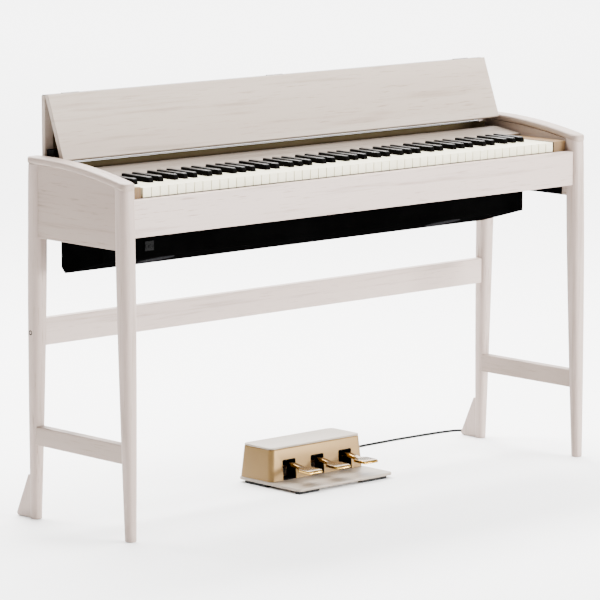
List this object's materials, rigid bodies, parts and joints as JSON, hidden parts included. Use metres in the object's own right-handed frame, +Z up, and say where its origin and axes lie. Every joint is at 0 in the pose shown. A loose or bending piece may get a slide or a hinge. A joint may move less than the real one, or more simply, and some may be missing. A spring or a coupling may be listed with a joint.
{
  "type": "digital piano on stand",
  "caption": "Digital piano with a full keyboard, folding lid and bowed arms on four tapered legs, with a hanging speaker box and a separate pedal unit on a cord.",
  "frame": {"origin": "bottom centre of the piano's bounding box on the floor, measured without the pedal cord and its plug", "axes": "+X along the keyboard to the player's right (towards the high notes), +Y from the player to the back, +Z up"},
  "size_m": [1.3961, 0.4334, 0.908],
  "materials": {
    "whitewashed_wood": "satin, white-washed open grain",
    "pedal_board": "satin, pale painted board",
    "white_key": "semi-gloss ivory colour",
    "black_key": "satin ebony look",
    "end_block": "satin tan",
    "black_board": "matte black laminate",
    "black_plastic": "fine matte",
    "steel": "brushed, dark",
    "speaker": "matte cone and basket",
    "circuit_board": "satin green laminate",
    "champagne_metal": "satin champagne paint",
    "brass": "polished",
    "cord": "matte black jacket"
  },
  "bodies": {
    "stand": {"arm_left": "whitewashed_wood", "arm_right": "whitewashed_wood", "back_board": "whitewashed_wood", "case_hinge": "steel", "cheek_left": "whitewashed_wood", "cheek_right": "whitewashed_wood", "cord_grommet": "cord", "end_block_left": "end_block", "end_block_right": "end_block", "fascia": "whitewashed_wood", "front_rail": "whitewashed_wood", "headphone_jacks": "black_plastic", "key_frame": "black_plastic", "key_tray": "black_board", "keys_high": "white_key", "keys_low": "white_key", "leg_front_left": "whitewashed_wood", "leg_front_right": "whitewashed_wood", "leg_rear_left": "whitewashed_wood", "leg_rear_right": "whitewashed_wood", "main_board": "circuit_board", "pedal_axle": "steel", "pedal_cord": "cord", "pedal_housing": "champagne_metal", "pedal_housing_top": "pedal_board", "pedal_plate": "pedal_board", "pedal_plug": "cord", "pedal_socket": "black_plastic", "rear_cross_rail": "whitewashed_wood", "sharps_high": "black_key", "sharps_low": "black_key", "side_panel_left": "whitewashed_wood", "side_panel_right": "whitewashed_wood", "side_stretcher_left": "whitewashed_wood", "side_stretcher_right": "whitewashed_wood", "speaker_box": "black_board", "speaker_left": "speaker", "speaker_right": "speaker", "tail_fin_left": "whitewashed_wood", "tail_fin_right": "whitewashed_wood"},
    "key_c": {"key_c": "white_key"},
    "key_d": {"key_d": "white_key"},
    "key_e": {"key_e": "white_key"},
    "key_f": {"key_f": "white_key"},
    "key_g": {"key_g": "white_key"},
    "key_a": {"key_a": "white_key"},
    "key_b": {"key_b": "white_key"},
    "key_c_sharp": {"key_c_sharp": "black_key"},
    "key_d_sharp": {"key_d_sharp": "black_key"},
    "key_f_sharp": {"key_f_sharp": "black_key"},
    "key_g_sharp": {"key_g_sharp": "black_key"},
    "key_a_sharp": {"key_a_sharp": "black_key"},
    "lid_rear": {"lid_rear_panel": "whitewashed_wood", "fold_hinge": "steel", "lid_damper_left": "black_plastic", "lid_damper_right": "black_plastic"},
    "lid_front": {"lid_front_panel": "whitewashed_wood"},
    "pedal_left": {"pedal_left": "brass"},
    "pedal_middle": {"pedal_middle": "brass"},
    "pedal_right": {"pedal_right": "brass"}
  },
  "joints": [
    {"name": "key_c_pivot", "type": "hinge", "parent": "stand", "child": "key_c", "pos_m": [-0.05875, 0.06198, 0.71], "axis": [1, 0, 0], "range_deg": [0, 2.6], "stiffness_Nm_per_rad": 0.4, "springref_deg": -31.51},
    {"name": "key_d_pivot", "type": "hinge", "parent": "stand", "child": "key_d", "pos_m": [-0.03525, 0.06198, 0.71], "axis": [1, 0, 0], "range_deg": [0, 2.6], "stiffness_Nm_per_rad": 0.4, "springref_deg": -31.51},
    {"name": "key_e_pivot", "type": "hinge", "parent": "stand", "child": "key_e", "pos_m": [-0.01175, 0.06198, 0.71], "axis": [1, 0, 0], "range_deg": [0, 2.6], "stiffness_Nm_per_rad": 0.4, "springref_deg": -31.51},
    {"name": "key_f_pivot", "type": "hinge", "parent": "stand", "child": "key_f", "pos_m": [0.01175, 0.06198, 0.71], "axis": [1, 0, 0], "range_deg": [0, 2.6], "stiffness_Nm_per_rad": 0.4, "springref_deg": -31.51},
    {"name": "key_g_pivot", "type": "hinge", "parent": "stand", "child": "key_g", "pos_m": [0.03525, 0.06198, 0.71], "axis": [1, 0, 0], "range_deg": [0, 2.6], "stiffness_Nm_per_rad": 0.4, "springref_deg": -31.51},
    {"name": "key_a_pivot", "type": "hinge", "parent": "stand", "child": "key_a", "pos_m": [0.05875, 0.06198, 0.71], "axis": [1, 0, 0], "range_deg": [0, 2.6], "stiffness_Nm_per_rad": 0.4, "springref_deg": -31.51},
    {"name": "key_b_pivot", "type": "hinge", "parent": "stand", "child": "key_b", "pos_m": [0.08225, 0.06198, 0.71], "axis": [1, 0, 0], "range_deg": [0, 2.6], "stiffness_Nm_per_rad": 0.4, "springref_deg": -31.51},
    {"name": "key_c_sharp_pivot", "type": "hinge", "parent": "stand", "child": "key_c_sharp", "pos_m": [-0.04935, 0.06198, 0.71], "axis": [1, 0, 0], "range_deg": [0, 2.6], "stiffness_Nm_per_rad": 0.3, "springref_deg": -30.37},
    {"name": "key_d_sharp_pivot", "type": "hinge", "parent": "stand", "child": "key_d_sharp", "pos_m": [-0.02115, 0.06198, 0.71], "axis": [1, 0, 0], "range_deg": [0, 2.6], "stiffness_Nm_per_rad": 0.3, "springref_deg": -30.37},
    {"name": "key_f_sharp_pivot", "type": "hinge", "parent": "stand", "child": "key_f_sharp", "pos_m": [0.02014, 0.06198, 0.71], "axis": [1, 0, 0], "range_deg": [0, 2.6], "stiffness_Nm_per_rad": 0.3, "springref_deg": -30.37},
    {"name": "key_g_sharp_pivot", "type": "hinge", "parent": "stand", "child": "key_g_sharp", "pos_m": [0.047, 0.06198, 0.71], "axis": [1, 0, 0], "range_deg": [0, 2.6], "stiffness_Nm_per_rad": 0.3, "springref_deg": -30.37},
    {"name": "key_a_sharp_pivot", "type": "hinge", "parent": "stand", "child": "key_a_sharp", "pos_m": [0.07386, 0.06198, 0.71], "axis": [1, 0, 0], "range_deg": [0, 2.6], "stiffness_Nm_per_rad": 0.3, "springref_deg": -30.37},
    {"name": "lid_hinge", "type": "hinge", "parent": "stand", "child": "lid_rear", "pos_m": [0, 0.11718, 0.757], "axis": [1, 0, 0], "range_deg": [0, 90]},
    {"name": "lid_fold", "type": "hinge", "parent": "lid_rear", "child": "lid_front", "pos_m": [0, 0.11747, 0.9052], "axis": [1, 0, 0], "range_deg": [-151.66, 0]},
    {"name": "pedal_left_pivot", "type": "hinge", "parent": "stand", "child": "pedal_left", "pos_m": [-0.037, 0.10447, 0.039], "axis": [1, 0, 0], "range_deg": [0, 8], "stiffness_Nm_per_rad": 6, "springref_deg": -6.88},
    {"name": "pedal_middle_pivot", "type": "hinge", "parent": "stand", "child": "pedal_middle", "pos_m": [0.048, 0.10447, 0.039], "axis": [1, 0, 0], "range_deg": [0, 8], "stiffness_Nm_per_rad": 6, "springref_deg": -6.88},
    {"name": "pedal_right_pivot", "type": "hinge", "parent": "stand", "child": "pedal_right", "pos_m": [0.133, 0.10447, 0.039], "axis": [1, 0, 0], "range_deg": [0, 8], "stiffness_Nm_per_rad": 6, "springref_deg": -6.88}
  ],
  "couplings": [
    {"joint": "lid_fold", "follows": "lid_hinge", "ratio": -1.685}
  ]
}
